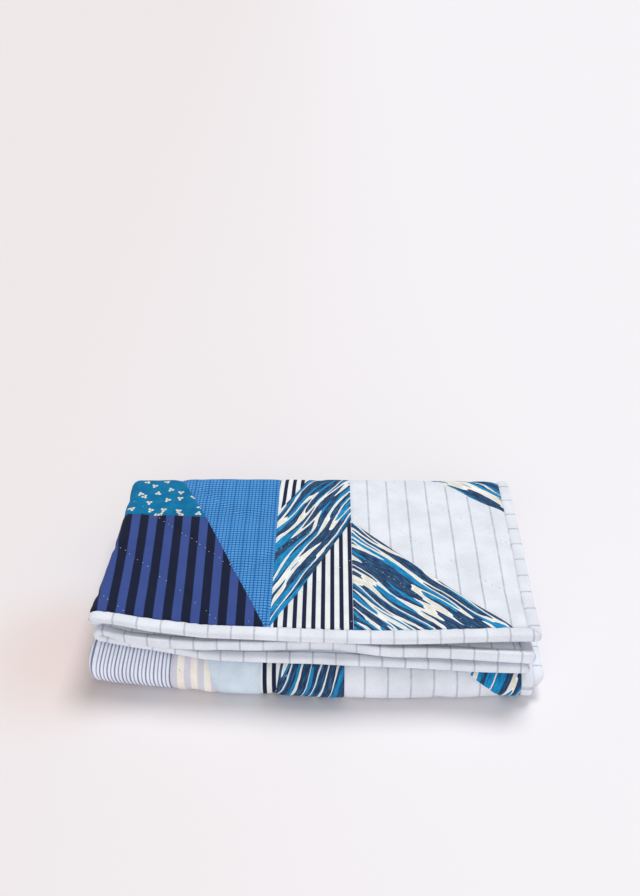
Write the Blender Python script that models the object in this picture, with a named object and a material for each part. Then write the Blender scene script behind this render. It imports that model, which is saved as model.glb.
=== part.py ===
"""A patchwork quilt, folded three times and lying flat: one folded solid and the four strips that bind it.

The quilt is first thought of as flat. A point of it has three numbers:
  u  across, from the bound side that ends on top, round the left fold, to the bound side that ends under it
  v  along, from the near end, over the back bend and round the front bend, to the far end
  s  through the cloth, from -1 on the backing to 1 on the patchwork
fold() puts such a point in its place in the folded stack. +X is right, +Y is back and +Z is up.
"""

import bmesh
import bpy
import numpy as np

# Driving sizes in metres
STACK_WIDTH = 0.424
LAYER_PITCH = 0.0094
CLOTH_THICKNESS = 0.0078
BINDING_WIDTH = 0.012
PIECE_GAP = 0.0003
HALF_CLOTH = CLOTH_THICKNESS / 2
HALF_STACK = 4
FOLD_RADIUS = LAYER_PITCH / 2

# The four panels between the bends, in the order of v. Height is that of the panel's middle in layers.
PANEL_COLUMNS = ("name", "height", "y_start", "y_end", "cells")
PANELS = (
    ("top", 6.5, -0.1355, 0.1150, 16),
    ("bottom", 0.5, 0.1150, -0.1285, 5),
    ("third", 2.5, -0.1285, 0.1050, 5),
    ("fourth", 4.5, 0.1050, -0.1405, 6),
)

# The three bends that join them. Side is 1 at the back and -1 at the front, and reach is how far each swings out.
BEND_COLUMNS = ("name", "side", "reach", "cells")
BENDS = (
    ("outer back", 1, 0.0200, 8),
    ("front", -1, 0.0094, 8),
    ("inner back", 1, 0.0094, 5),
)

# How far back the far end's two edges lie, at some distances from the left fold
FAR_END_COLUMNS = ("from_left_fold", "under_edge", "upper_edge")
FAR_END = (
    (0.000, 0.0058, 0.0047),
    (0.040, 0.0043, -0.0017),
    (0.140, 0.0000, 0.0052),
    (0.225, 0.0016, 0.0112),
    (0.300, 0.0025, 0.0038),
    (0.430, -0.0040, -0.0085),
)

# How far right of the stack's plain edge each panel's two bound sides lie
SIDE_COLUMNS = ("upper_layer_side", "under_layer_side")
SIDE_REACH = (
    (-0.0010, 0.0005),
    (-0.0050, 0.0010),
    (-0.0050, 0.0070),
    (-0.0100, -0.0070),
)

# Cells across the cloth: the half that shows, the left fold, the step next to it, and the rest of the half inside
CELLS_SHOWN = 28
CELLS_FOLD = 6
CELLS_STEP = 5
CELLS_INSIDE = 7

# The near end of the inside half is set back, and the near end of the outside half droops over it. The far end
# is plumper on its upper side.
SET_BACK = 0.026
SET_BACK_FADE = 0.110
DROOP = 0.0042
DROOP_LENGTH = 0.070
DROOP_LEFT_END = -0.195
DROOP_LEFT_WIDTH = 0.045
DROOP_RIGHT_START = 0.050
DROOP_RIGHT_WIDTH = 0.150
DROOP_RIGHT_SHARE = 0.55
FAR_END_SWELL = 0.0042
FAR_END_SWELL_LENGTH = 0.024
FAR_END_SWELL_START = -0.205
FAR_END_SWELL_WIDTH = 0.030
FAR_CORNER_LIFT = 0.0060
FAR_CORNER_LIFT_LENGTH = 0.038
FAR_CORNER_LIFT_START = 0.030
FAR_CORNER_LIFT_WIDTH = 0.150

# The stack's soft unevenness: plump front bend, thickest at the left corner, and a dip at its right end
FRONT_LIFT = 0.0056
FRONT_LIFT_LENGTH = 0.045
CORNER_LIFT_LOW = 0.0085
CORNER_LIFT_TOP = 0.0030
CORNER_LIFT_WIDTH = 0.055
CORNER_LIFT_DEPTH = 0.075
NOSE_DROP = 0.0040
NOSE_WIDTH = 0.010
NOSE_LAYERS = 2
LEFT_LIFT = 0.0015
LEFT_LIFT_LENGTH = 0.250
CROWN = 0.0020
CORNER_SET_BACK = 0.0150
CORNER_SET_BACK_START = -0.105
RIGHT_DIP = 0.0080
RIGHT_DIP_START = -0.010
RIGHT_DIP_WIDTH = 0.180
RIGHT_DIP_LENGTH = 0.036
FRONT_HALF_START = 0.060
FRONT_HALF_LENGTH = 0.190
SIDE_START = 0.100
SIDE_WIDTH = 0.100
LEFT_BULGE = 0.0040
LEFT_BULGE_LAYERS = 7
LEFT_FLARE = 0.0035
RIGHT_SPREAD = 0.0035
EDGE_WAVE = 0.0030
EDGE_WAVE_LENGTH = 0.360
EDGE_WAVE_PEAK = 0.050

# Quilting: zigzag rows of troughs, one row every few cells, turning where the patch columns meet
ROW_CELLS = 6
TROUGH = 0.0016
ROW_FIRST = 2
TURNS = (11, 19)
SEAM_PINCH = 0.78

# A binding strip's cross-section: distance from its outer edge, and height as a share of the cloth's half
BINDING_COLUMNS = ("inward", "height")
BINDING_PROFILE = (
    (0.0120, 0.78),
    (0.0080, 1.00),
    (0.0032, 0.90),
    (0.0008, 0.50),
)

LEFT_CENTRE = -STACK_WIDTH / 2 + FOLD_RADIUS + HALF_CLOTH
SHOWN_LENGTH = STACK_WIDTH / 2 - LEFT_CENTRE
FOLD_LENGTH = np.pi * FOLD_RADIUS
INSIDE_STEP = 3 * FOLD_LENGTH
CLOTH_ACROSS = 2 * SHOWN_LENGTH + FOLD_LENGTH


def smooth(share):
    """A soft step from 0 to 1."""
    share = np.clip(share, 0.0, 1.0)
    return share * share * (3.0 - 2.0 * share)


def lerp(a, b, share):
    return a + (b - a) * share


def path_pieces():
    """The path of v as a list of panels and bends, each with its length and its place along v."""
    pieces = []
    start = 0.0
    for index, (_, height, y_start, y_end, cells) in enumerate(PANELS):
        z = height * LAYER_PITCH + HALF_CLOTH
        length = abs(y_end - y_start)
        pieces.append({"kind": "panel", "start": start, "length": length, "cells": cells, "panel": index,
                       "y": (y_start, y_end), "z": (z, z)})
        start += length
        if index < len(BENDS):
            _, side, reach, bend_cells = BENDS[index]
            z_next = PANELS[index + 1][1] * LAYER_PITCH + HALF_CLOTH
            length = np.pi * (reach + abs(z_next - z) / 2) / 2
            pieces.append({"kind": "bend", "start": start, "length": length, "cells": bend_cells, "panel": index,
                           "y": (y_end, side * reach), "z": (z, z_next)})
            start += length
    return pieces


PATH = path_pieces()
CLOTH_ALONG = PATH[-1]["start"] + PATH[-1]["length"]


def along(v):
    """Where the middle of the doubled cloth runs at v: y, z, and the direction that the shown side faces."""
    y = np.zeros_like(v)
    z = np.zeros_like(v)
    run_y = np.zeros_like(v)
    run_z = np.zeros_like(v)
    for piece in PATH:
        last = piece is PATH[-1]
        inside = (v >= piece["start"]) & ((v < piece["start"] + piece["length"]) | last)
        share = (v[inside] - piece["start"]) / piece["length"]
        if piece["kind"] == "panel":
            y_start, y_end = piece["y"]
            y[inside] = y_start + share * (y_end - y_start)
            z[inside] = piece["z"][0]
            run_y[inside] = np.sign(y_end - y_start)
        else:
            y_middle, reach = piece["y"]
            z_start, z_end = piece["z"]
            angle = share * np.pi
            y[inside] = y_middle + reach * np.sin(angle)
            z[inside] = z_start + (z_end - z_start) * (1 - np.cos(angle)) / 2
            run_y[inside] = reach * np.cos(angle)
            run_z[inside] = (z_end - z_start) / 2 * np.sin(angle)
    size = np.hypot(run_y, run_z)
    return y, z, -run_z / size, run_y / size


def panel_share(v):
    """Which panel v is on, as a number that runs smoothly from one to the next over each bend."""
    place = np.zeros_like(v)
    for piece in PATH:
        if piece["kind"] == "bend":
            place += smooth((v - piece["start"]) / piece["length"])
    return place


def side_reach(v, column):
    """How far out the bound side lies at v, from the table SIDE_REACH."""
    values = [row[column] for row in SIDE_REACH]
    return np.interp(panel_share(v), range(len(values)), values)


def across(u, v, off):
    """x, and the distance from the middle of the doubled cloth, for a point off the cloth's own middle by off."""
    turn = np.clip((u - SHOWN_LENGTH) / FOLD_LENGTH, 0.0, 1.0) * np.pi
    radius = FOLD_RADIUS + off
    shown = np.clip(SHOWN_LENGTH - u, 0.0, None)
    inside = np.clip(u - SHOWN_LENGTH - FOLD_LENGTH, 0.0, None)
    outward = side_reach(v, 0) * shown / SHOWN_LENGTH + side_reach(v, 1) * inside / SHOWN_LENGTH
    x = LEFT_CENTRE - radius * np.sin(turn) + shown + inside + outward
    return x, radius * np.cos(turn)


def inside_share(u):
    """0 on the half that shows, 1 on the half inside, and a soft step round the left fold."""
    return smooth((u - SHOWN_LENGTH) / INSIDE_STEP)


def far_set_back(u, inside):
    """How far back of its plain place the far end lies, from the table FAR_END, in soft steps."""
    from_fold = np.abs(u - SHOWN_LENGTH - FOLD_LENGTH / 2)
    back = np.full(u.shape, 0.0)
    for (start, *before), (end, *after) in zip(FAR_END, FAR_END[1:]):
        here = (from_fold >= start) & (from_fold <= end)
        share = smooth((from_fold - start) / (end - start))
        edges = [lerp(before[side], after[side], share) for side in (0, 1)]
        back[here] = lerp(edges[0], edges[1], inside)[here]
    return back


def rest_on_stack(x, y, z):
    """The soft unevenness of the whole stack: plump front bend and left side, set-back corner, crowned top."""
    front = PANELS[0][2]
    from_left = np.clip(x + STACK_WIDTH / 2, 0.0, None)
    from_front = np.clip(y - front, 0.0, None)
    lift = FRONT_LIFT * np.exp(-((from_front / FRONT_LIFT_LENGTH) ** 2))
    to_back = smooth(from_front / LEFT_LIFT_LENGTH)
    lift += LEFT_LIFT * np.exp(-((from_left / CORNER_LIFT_WIDTH) ** 2)) * lerp(1.0, -1.0, to_back)
    lift += CROWN * np.cos(np.pi * x / STACK_WIDTH) * np.cos(np.pi * y / STACK_WIDTH)
    corner = np.exp(-from_left / CORNER_LIFT_WIDTH) * np.exp(-from_front / CORNER_LIFT_DEPTH)
    dip = smooth((x - RIGHT_DIP_START) / RIGHT_DIP_WIDTH) * np.exp(-((from_front / RIGHT_DIP_LENGTH) ** 2))
    nose = smooth(1 - from_left / NOSE_WIDTH)
    z = z - NOSE_DROP * nose * np.sin(np.pi * np.clip(z / LAYER_PITCH / NOSE_LAYERS, 0.0, 1.0))
    level = z / LAYER_PITCH
    lower = np.clip(level / HALF_STACK, 0.0, 1.0)
    upper = np.clip(level / HALF_STACK - 1, 0.0, 1.0)
    lift_low = lift + CORNER_LIFT_LOW * corner - RIGHT_DIP * dip
    lift_top = lift + CORNER_LIFT_TOP * corner
    z = z + lift_low * lower + (lift_top - lift_low) * upper
    near_front = smooth((FRONT_HALF_START - y) / FRONT_HALF_LENGTH)
    back_share = (CORNER_SET_BACK_START - x) / (STACK_WIDTH / 2 + CORNER_SET_BACK_START)
    back = CORNER_SET_BACK * np.clip(back_share, 0.0, None)
    wave = -EDGE_WAVE * np.cos(2 * np.pi * (x - EDGE_WAVE_PEAK) / EDGE_WAVE_LENGTH)
    y = y + near_front * (back + wave)
    bulge = np.sin(2 * np.pi * np.clip(level / LEFT_BULGE_LAYERS, 0.0, 1.0))
    x = x - smooth((-x - SIDE_START) / SIDE_WIDTH) * (LEFT_BULGE * bulge + LEFT_FLARE * near_front)
    x = x + smooth((x - SIDE_START) / SIDE_WIDTH) * RIGHT_SPREAD * (1 - near_front)
    return x, y, z


def fold(u, v, s):
    """A point of the flat quilt, put in its place in the folded stack."""
    u, v, s = (np.atleast_1d(np.asarray(value, dtype=float)) for value in (u, v, s))
    inside = inside_share(u)
    from_far_end = CLOTH_ALONG - v
    v = v + SET_BACK * inside * np.clip(1 - v / SET_BACK_FADE, 0.0, 1.0)
    v = v - far_set_back(u, inside) * np.clip(1 - from_far_end / SET_BACK_FADE, 0.0, 1.0)
    x, away = across(u, v, s * HALF_CLOTH)
    y, z, face_y, face_z = along(v)
    y = y + away * face_y
    z = z + away * face_z
    droop = np.clip(1 - v / DROOP_LENGTH, 0.0, 1.0) ** 2
    swell = inside * np.clip(1 - from_far_end / FAR_END_SWELL_LENGTH, 0.0, 1.0) ** 2
    swell = swell * smooth((x - FAR_END_SWELL_START) / FAR_END_SWELL_WIDTH)
    raised = inside * np.clip(1 - from_far_end / FAR_CORNER_LIFT_LENGTH, 0.0, 1.0) ** 2
    raised = raised * smooth((x - FAR_CORNER_LIFT_START) / FAR_CORNER_LIFT_WIDTH)
    x, y, z = rest_on_stack(x, y, z)
    droop = droop * lerp(1.0, DROOP_RIGHT_SHARE, smooth((x - DROOP_RIGHT_START) / DROOP_RIGHT_WIDTH))
    droop = droop * (1 - inside / 2) * smooth((x - DROOP_LEFT_END) / DROOP_LEFT_WIDTH)
    z = z - DROOP * droop + FAR_END_SWELL * swell * (1 + s) / 2 + FAR_CORNER_LIFT * raised
    return np.stack([x, y, z], axis=-1)


def stations_across():
    """The lines of the body's net across the cloth."""
    seam = BINDING_WIDTH + PIECE_GAP
    shown = np.linspace(seam, SHOWN_LENGTH, CELLS_SHOWN + 1)
    bend = np.linspace(SHOWN_LENGTH, SHOWN_LENGTH + FOLD_LENGTH, CELLS_FOLD + 1)
    step = np.linspace(SHOWN_LENGTH + FOLD_LENGTH, SHOWN_LENGTH + INSIDE_STEP, CELLS_STEP + 1)
    inner = np.linspace(SHOWN_LENGTH + INSIDE_STEP, CLOTH_ACROSS - seam, CELLS_INSIDE + 1)
    return np.concatenate([shown, bend[1:], step[1:], inner[1:]])


def stations_along():
    """The lines of the body's net along the cloth."""
    seam = BINDING_WIDTH + PIECE_GAP
    lines = [np.array([seam])]
    for piece in PATH:
        start = max(piece["start"], seam)
        end = min(piece["start"] + piece["length"], CLOTH_ALONG - seam)
        lines.append(np.linspace(start, end, piece["cells"] + 1)[1:])
    return np.concatenate(lines)


def zigzag(column):
    """How many cells a row of quilting has moved along v at this line of the net."""
    first, second = TURNS
    if column <= first:
        return column
    if column <= second:
        return 2 * first - column
    return 2 * first - 2 * second + column


def cloth_surface(count_u, count_v, side):
    """s for each crossing of the net: full thickness, less the seams' pinch and the quilting troughs."""
    height = np.full((count_u, count_v), 1.0)
    if side > 0:
        last_shown = CELLS_SHOWN + CELLS_FOLD
        rows_shown = PANELS[0][4] + BENDS[0][3]
        front_first = rows_shown + PANELS[1][4]
        front_last = front_first + BENDS[1][3]
        for i in range(1, last_shown):
            for j in range(1, count_v - 1):
                seen = j < rows_shown or front_first < j < front_last
                if seen and (j - zigzag(i)) % ROW_CELLS == ROW_FIRST:
                    height[i, j] -= TROUGH / HALF_CLOTH
    height[0, :] = SEAM_PINCH
    height[-1, :] = SEAM_PINCH
    height[:, 0] = SEAM_PINCH
    height[:, -1] = SEAM_PINCH
    return side * height


def new_object(name, points, faces, colour, roughness):
    """One object from points and faces, with its own material."""
    work = bmesh.new()
    verts = [work.verts.new(point) for point in points]
    for face in faces:
        work.faces.new([verts[index] for index in face])
    bmesh.ops.recalc_face_normals(work, faces=work.faces)
    mesh = bpy.data.meshes.new(name)
    work.to_mesh(mesh)
    work.free()
    mesh.shade_smooth()
    thing = bpy.data.objects.new(name, mesh)
    bpy.context.scene.collection.objects.link(thing)
    material = bpy.data.materials.new(name)
    material.use_nodes = True
    shader = material.node_tree.nodes["Principled BSDF"]
    shader.inputs["Base Color"].default_value = (*colour, 1.0)
    shader.inputs["Roughness"].default_value = roughness
    shader.inputs["Metallic"].default_value = 0.0
    mesh.materials.append(material)
    return thing


def make_quilt():
    """The quilted cloth inside its binding, as one closed net of triangles."""
    us = stations_across()
    vs = stations_along()
    count_u = len(us)
    count_v = len(vs)
    grid_u, grid_v = np.meshgrid(us, vs, indexing="ij")
    points = []
    for side in (1, -1):
        height = cloth_surface(count_u, count_v, side)
        points.append(fold(grid_u.ravel(), grid_v.ravel(), height.ravel()))
    per_side = count_u * count_v
    faces = []
    for i in range(count_u - 1):
        rising = TURNS[0] <= i < TURNS[1]
        for j in range(count_v - 1):
            for offset in (0, per_side):
                a = offset + i * count_v + j
                b = a + 1
                c = a + count_v
                d = c + 1
                if rising:
                    pair = ((a, b, c), (b, d, c))
                else:
                    pair = ((a, b, d), (a, d, c))
                faces += pair if offset == 0 else [tuple(reversed(face)) for face in pair]
    rim = [i * count_v for i in range(count_u)]
    rim += [(count_u - 1) * count_v + j for j in range(1, count_v)]
    rim += [i * count_v + count_v - 1 for i in range(count_u - 2, -1, -1)]
    rim += [j for j in range(count_v - 2, 0, -1)]
    for here, there in zip(rim, rim[1:] + rim[:1]):
        faces.append((here, there, there + per_side))
        faces.append((here, there + per_side, here + per_side))
    return new_object("quilt", np.concatenate(points), faces, (0.20, 0.32, 0.55), 0.9)


def binding_ring():
    """The strip's cross-section as a closed ring of (inward, s), from the seam over the edge to the seam."""
    upper = list(BINDING_PROFILE)
    under = [(inward, -height) for inward, height in reversed(BINDING_PROFILE)]
    return upper + [(0.0, 0.0)] + under


def make_binding(name, along_side, far, colour):
    """A strip along one edge of the flat quilt, mitred at both ends. A side strip runs along v, an end strip along u."""
    ring = binding_ring()
    length = CLOTH_ALONG if along_side else CLOTH_ACROSS
    width = CLOTH_ACROSS if along_side else CLOTH_ALONG
    inner = stations_along() if along_side else stations_across()
    mitre_gap = PIECE_GAP / 2 ** 0.5
    run, distance, height = [], [], []
    for step in range(len(inner)):
        for inward, share in ring:
            place = inner[step]
            if step == 0:
                place = inward + mitre_gap
            if step == len(inner) - 1:
                place = length - inward - mitre_gap
            run.append(place)
            distance.append(width - inward if far else inward)
            height.append(share)
    if along_side:
        points = fold(distance, run, height)
    else:
        points = fold(run, distance, height)
    sides = len(ring)
    faces = []
    for step in range(len(inner) - 1):
        for corner in range(sides):
            a = step * sides + corner
            b = step * sides + (corner + 1) % sides
            faces.append((a, b, b + sides))
            faces.append((a, b + sides, a + sides))
    last = (len(inner) - 1) * sides
    for corner in range(1, sides - 1):
        faces.append((0, corner, corner + 1))
        faces.append((last, last + corner + 1, last + corner))
    return new_object(name, points, faces, colour, 0.9)


def centre_on_floor(things):
    """Move every mesh so that the whole stack stands on z = 0 with its box centred on x = y = 0."""
    corners = np.array([tuple(vert.co) for thing in things for vert in thing.data.vertices])
    low = corners.min(axis=0)
    high = corners.max(axis=0)
    middle = (low + high) / 2
    for thing in things:
        for vert in thing.data.vertices:
            vert.co.x -= middle[0]
            vert.co.y -= middle[1]
            vert.co.z -= low[2]


def main():
    for thing in list(bpy.data.objects):
        bpy.data.objects.remove(thing, do_unlink=True)
    things = [
        make_quilt(),
        make_binding("binding_near", False, False, (0.80, 0.82, 0.90)),
        make_binding("binding_far", False, True, (0.76, 0.79, 0.88)),
        make_binding("binding_side_top", True, False, (0.82, 0.84, 0.92)),
        make_binding("binding_side_under", True, True, (0.74, 0.77, 0.86)),
    ]
    centre_on_floor(things)


main()
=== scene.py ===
"""A folded patchwork quilt on a pale floor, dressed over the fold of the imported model.

The quilt is cut, pieced, quilted and bound as a flat cloth first. A point of the flat cloth has three
numbers:
  u  across, from the bound side that ends on top, round the left fold, to the bound side that ends under it
  v  along, from the near end, over the back bend and round the front bend, to the far end
  s  through the cloth, from -1 on the backing to 1 on the patchwork
fold() then puts each point in its place in the folded stack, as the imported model's own shape has it.
Lengths are metres. +X is right, +Y is back and +Z is up.
"""

import math

import bmesh
import bpy
import numpy as np
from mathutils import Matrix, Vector, noise


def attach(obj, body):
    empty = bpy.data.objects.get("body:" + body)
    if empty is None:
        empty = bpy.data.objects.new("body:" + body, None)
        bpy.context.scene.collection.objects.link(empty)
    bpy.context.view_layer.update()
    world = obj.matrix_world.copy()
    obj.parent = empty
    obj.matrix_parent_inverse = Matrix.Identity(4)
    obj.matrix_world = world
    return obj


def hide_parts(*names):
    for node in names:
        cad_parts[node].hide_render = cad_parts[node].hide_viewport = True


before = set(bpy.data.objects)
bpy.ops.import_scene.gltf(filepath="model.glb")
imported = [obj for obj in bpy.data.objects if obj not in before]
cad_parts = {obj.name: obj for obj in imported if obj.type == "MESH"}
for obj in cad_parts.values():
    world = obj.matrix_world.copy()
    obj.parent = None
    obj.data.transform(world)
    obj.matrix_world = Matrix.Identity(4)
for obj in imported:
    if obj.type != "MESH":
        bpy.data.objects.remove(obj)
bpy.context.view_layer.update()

# The folded cloth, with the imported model's own sizes
STACK_WIDTH = 0.424
LAYER_PITCH = 0.0094
CLOTH_THICKNESS = 0.0078
BINDING_WIDTH = 0.012
PIECE_GAP = 0.0003
HALF_CLOTH = CLOTH_THICKNESS / 2
HALF_STACK = 4
FOLD_RADIUS = LAYER_PITCH / 2

# The four panels between the bends, in the order of v. Height is that of the panel's middle in layers.
PANEL_COLUMNS = ("name", "height", "y_start", "y_end", "cells")
PANELS = (
    ("top", 6.5, -0.1355, 0.1150, 68),
    ("bottom", 0.5, 0.1150, -0.1285, 16),
    ("third", 2.5, -0.1285, 0.1050, 12),
    ("fourth", 4.5, 0.1050, -0.1405, 24),
)

# The three bends that join them. Side is 1 at the back and -1 at the front, and reach is how far each one
# swings out.
BEND_COLUMNS = ("name", "side", "reach", "cells")
BENDS = (
    ("outer back", 1, 0.0200, 24),
    ("front", -1, 0.0094, 24),
    ("inner back", 1, 0.0094, 8),
)

# How far back the far end's two edges lie, at some distances from the left fold
FAR_END_COLUMNS = ("from_left_fold", "under_edge", "upper_edge")
FAR_END = (
    (0.000, 0.0058, 0.0047),
    (0.040, 0.0043, -0.0017),
    (0.140, 0.0000, 0.0052),
    (0.225, 0.0016, 0.0112),
    (0.300, 0.0025, 0.0038),
    (0.430, -0.0040, -0.0085),
)

# How far right of the stack's plain edge each panel's two bound sides lie
SIDE_COLUMNS = ("upper_layer_side", "under_layer_side")
SIDE_REACH = (
    (-0.0010, 0.0005),
    (-0.0050, 0.0010),
    (-0.0050, 0.0070),
    (-0.0100, -0.0070),
)

# Cells across the cloth: the half that shows, the left fold, and the half inside
CELLS_SHOWN = 114
CELLS_FOLD = 10
CELLS_INSIDE = 30

# The near end of the inside half is set back, and the near end of the outside half droops over it. The far
# end is plumper on its upper side, and its right corner is lifted.
SET_BACK = 0.026
SET_BACK_FADE = 0.110
DROOP = 0.0042
DROOP_LENGTH = 0.070
DROOP_LEFT_END = -0.195
DROOP_LEFT_WIDTH = 0.045
DROOP_RIGHT_START = 0.050
DROOP_RIGHT_WIDTH = 0.150
DROOP_RIGHT_SHARE = 0.55
FAR_END_SWELL = 0.0042
FAR_END_SWELL_LENGTH = 0.024
FAR_END_SWELL_START = -0.205
FAR_END_SWELL_WIDTH = 0.030
FAR_CORNER_LIFT = 0.0060
FAR_CORNER_LIFT_LENGTH = 0.038
FAR_CORNER_LIFT_START = 0.030
FAR_CORNER_LIFT_WIDTH = 0.150

# The stack's soft unevenness: plump front bend, thickest at the left corner, and a dip at its right end
FRONT_LIFT = 0.0056
FRONT_LIFT_LENGTH = 0.045
CORNER_LIFT_LOW = 0.0085
CORNER_LIFT_TOP = 0.0030
CORNER_LIFT_WIDTH = 0.055
CORNER_LIFT_DEPTH = 0.075
NOSE_DROP = 0.0040
NOSE_WIDTH = 0.010
NOSE_LAYERS = 2
LEFT_LIFT = 0.0015
LEFT_LIFT_LENGTH = 0.250
CROWN = 0.0020
CORNER_SET_BACK = 0.0150
CORNER_SET_BACK_START = -0.105
RIGHT_DIP = 0.0080
RIGHT_DIP_START = -0.010
RIGHT_DIP_WIDTH = 0.180
RIGHT_DIP_LENGTH = 0.036
FRONT_HALF_START = 0.060
FRONT_HALF_LENGTH = 0.190
SIDE_START = 0.100
SIDE_WIDTH = 0.100
LEFT_BULGE = 0.0040
LEFT_BULGE_LAYERS = 7
LEFT_FLARE = 0.0035
RIGHT_SPREAD = 0.0035
EDGE_WAVE = 0.0030
EDGE_WAVE_LENGTH = 0.360
EDGE_WAVE_PEAK = 0.050

# For centring the stack: lines of the net that is measured, and how far in the cloth's edge is rounded
CENTRING_LINES = (500, 900)
EDGE_ROUND = 0.004

LEFT_CENTRE = -STACK_WIDTH / 2 + FOLD_RADIUS + HALF_CLOTH
SHOWN_LENGTH = STACK_WIDTH / 2 - LEFT_CENTRE
FOLD_LENGTH = math.pi * FOLD_RADIUS
INSIDE_STEP = 3 * FOLD_LENGTH
CLOTH_ACROSS = 2 * SHOWN_LENGTH + FOLD_LENGTH

# The photograph's view
IMAGE_SIZE = (640, 896)
FOCAL_PX = 1045
SENSOR_MM = 36.0
CAMERA_ABOVE_FRONT_EDGE = 0.6711
CAMERA_BEFORE_FRONT_EDGE = 0.715
CAMERA_RIGHT = 0.0100
CAMERA_PITCH = 32.87
CAMERA_YAW = 0.60


def smooth(share):
    """A soft step from 0 to 1."""
    share = np.clip(share, 0.0, 1.0)
    return share * share * (3.0 - 2.0 * share)


def lerp(a, b, share):
    return a + (b - a) * share


def path_pieces():
    """The path of v as a list of panels and bends, each with its length and its place along v."""
    pieces = []
    start = 0.0
    for index, (_, height, y_start, y_end, cells) in enumerate(PANELS):
        z = height * LAYER_PITCH + HALF_CLOTH
        length = abs(y_end - y_start)
        pieces.append({"kind": "panel", "start": start, "length": length, "cells": cells,
                       "y": (y_start, y_end), "z": (z, z)})
        start += length
        if index < len(BENDS):
            _, side, reach, bend_cells = BENDS[index]
            z_next = PANELS[index + 1][1] * LAYER_PITCH + HALF_CLOTH
            length = np.pi * (reach + abs(z_next - z) / 2) / 2
            pieces.append({"kind": "bend", "start": start, "length": length, "cells": bend_cells,
                           "y": (y_end, side * reach), "z": (z, z_next)})
            start += length
    return pieces


PATH = path_pieces()
CLOTH_ALONG = PATH[-1]["start"] + PATH[-1]["length"]


def along(v):
    """Where the middle of the doubled cloth runs at v: y, z, and the direction that the shown side faces."""
    y = np.zeros_like(v)
    z = np.zeros_like(v)
    run_y = np.zeros_like(v)
    run_z = np.zeros_like(v)
    for piece in PATH:
        last = piece is PATH[-1]
        inside = (v >= piece["start"]) & ((v < piece["start"] + piece["length"]) | last)
        share = (v[inside] - piece["start"]) / piece["length"]
        if piece["kind"] == "panel":
            y_start, y_end = piece["y"]
            y[inside] = y_start + share * (y_end - y_start)
            z[inside] = piece["z"][0]
            run_y[inside] = np.sign(y_end - y_start)
        else:
            y_middle, reach = piece["y"]
            z_start, z_end = piece["z"]
            angle = share * np.pi
            y[inside] = y_middle + reach * np.sin(angle)
            z[inside] = z_start + (z_end - z_start) * (1 - np.cos(angle)) / 2
            run_y[inside] = reach * np.cos(angle)
            run_z[inside] = (z_end - z_start) / 2 * np.sin(angle)
    size = np.hypot(run_y, run_z)
    return y, z, -run_z / size, run_y / size


def panel_share(v):
    """Which panel v is on, as a number that runs smoothly from one to the next over each bend."""
    place = np.zeros_like(v)
    for piece in PATH:
        if piece["kind"] == "bend":
            place += smooth((v - piece["start"]) / piece["length"])
    return place


def side_reach(v, column):
    """How far out the bound side lies at v, from the table SIDE_REACH."""
    values = [row[column] for row in SIDE_REACH]
    return np.interp(panel_share(v), range(len(values)), values)


def across(u, v, off):
    """x, and the distance from the doubled cloth's middle, for a point off the cloth's own middle by off."""
    turn = np.clip((u - SHOWN_LENGTH) / FOLD_LENGTH, 0.0, 1.0) * np.pi
    radius = FOLD_RADIUS + off
    shown = np.clip(SHOWN_LENGTH - u, 0.0, None)
    inside = np.clip(u - SHOWN_LENGTH - FOLD_LENGTH, 0.0, None)
    outward = side_reach(v, 0) * shown / SHOWN_LENGTH + side_reach(v, 1) * inside / SHOWN_LENGTH
    x = LEFT_CENTRE - radius * np.sin(turn) + shown + inside + outward
    return x, radius * np.cos(turn)


def inside_share(u):
    """0 on the half that shows, 1 on the half inside, and a soft step round the left fold."""
    return smooth((u - SHOWN_LENGTH) / INSIDE_STEP)


def far_set_back(u, inside):
    """How far back of its plain place the far end lies, from the table FAR_END, in soft steps."""
    from_fold = np.abs(u - SHOWN_LENGTH - FOLD_LENGTH / 2)
    back = np.full(u.shape, 0.0)
    for (start, *before), (end, *after) in zip(FAR_END, FAR_END[1:]):
        here = (from_fold >= start) & (from_fold <= end)
        share = smooth((from_fold - start) / (end - start))
        edges = [lerp(before[side], after[side], share) for side in (0, 1)]
        back[here] = lerp(edges[0], edges[1], inside)[here]
    return back


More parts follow.
